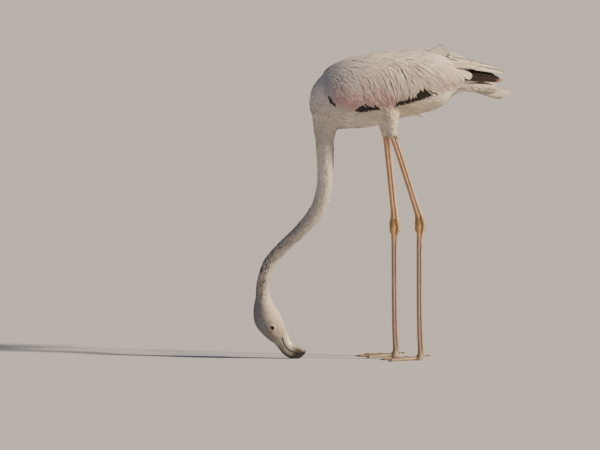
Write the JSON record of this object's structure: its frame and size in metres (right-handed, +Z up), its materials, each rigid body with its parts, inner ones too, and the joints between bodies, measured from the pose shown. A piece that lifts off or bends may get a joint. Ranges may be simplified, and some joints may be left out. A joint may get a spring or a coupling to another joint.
{
  "type": "greater flamingo, immature, feeding, life-size model",
  "caption": "Life-size still model of an immature greater flamingo standing on webbed feet with its long neck lowered and its bent bill on the floor.",
  "frame": {"origin": "on the floor, under the middle of the bird's outline", "axes": "+Z up, the bird faces -X, its left side is -Y"},
  "size_m": [0.6202, 0.1684, 0.7461],
  "materials": {
    "body_plumage": "soft white contour feathers, cream below",
    "wing_coverts": "loose pale coverts with a faint pink wash",
    "neck_down": "short down, mottled grey-brown towards the head",
    "flight_feathers": "black quill feathers",
    "leg_skin": "scaly flesh-tan skin",
    "bill_horn": "grey horn, blackish towards the tip",
    "eye": "wet dark brown",
    "claw_horn": "dark horn"
  },
  "bodies": {
    "root": {"trunk": "body_plumage", "neck_lower": "body_plumage", "neck_middle": "neck_down", "neck_upper": "neck_down", "eye_left": "eye", "eye_right": "eye", "head": "neck_down", "bill_upper": "bill_horn", "bill_lower": "bill_horn", "tail": "body_plumage", "wing_left": "wing_coverts", "secondaries_left": "flight_feathers", "tertials_left": "wing_coverts", "primaries_left": "flight_feathers", "wing_right": "wing_coverts", "secondaries_right": "flight_feathers", "tertials_right": "wing_coverts", "primaries_right": "flight_feathers", "thigh_left": "body_plumage", "shin_left": "leg_skin", "hock_left": "leg_skin", "tarsus_left": "leg_skin", "foot_left": "leg_skin", "toe_middle_left": "leg_skin", "claw_middle_left": "claw_horn", "toe_inner_left": "leg_skin", "claw_inner_left": "claw_horn", "toe_outer_left": "leg_skin", "claw_outer_left": "claw_horn", "web_inner_left": "leg_skin", "web_outer_left": "leg_skin", "toe_hind_left": "leg_skin", "claw_hind_left": "claw_horn", "thigh_right": "body_plumage", "shin_right": "leg_skin", "hock_right": "leg_skin", "tarsus_right": "leg_skin", "foot_right": "leg_skin", "toe_middle_right": "leg_skin", "claw_middle_right": "claw_horn", "toe_inner_right": "leg_skin", "claw_inner_right": "claw_horn", "toe_outer_right": "leg_skin", "claw_outer_right": "claw_horn", "web_inner_right": "leg_skin", "web_outer_right": "leg_skin", "toe_hind_right": "leg_skin", "claw_hind_right": "claw_horn"}
  },
  "joints": []
}
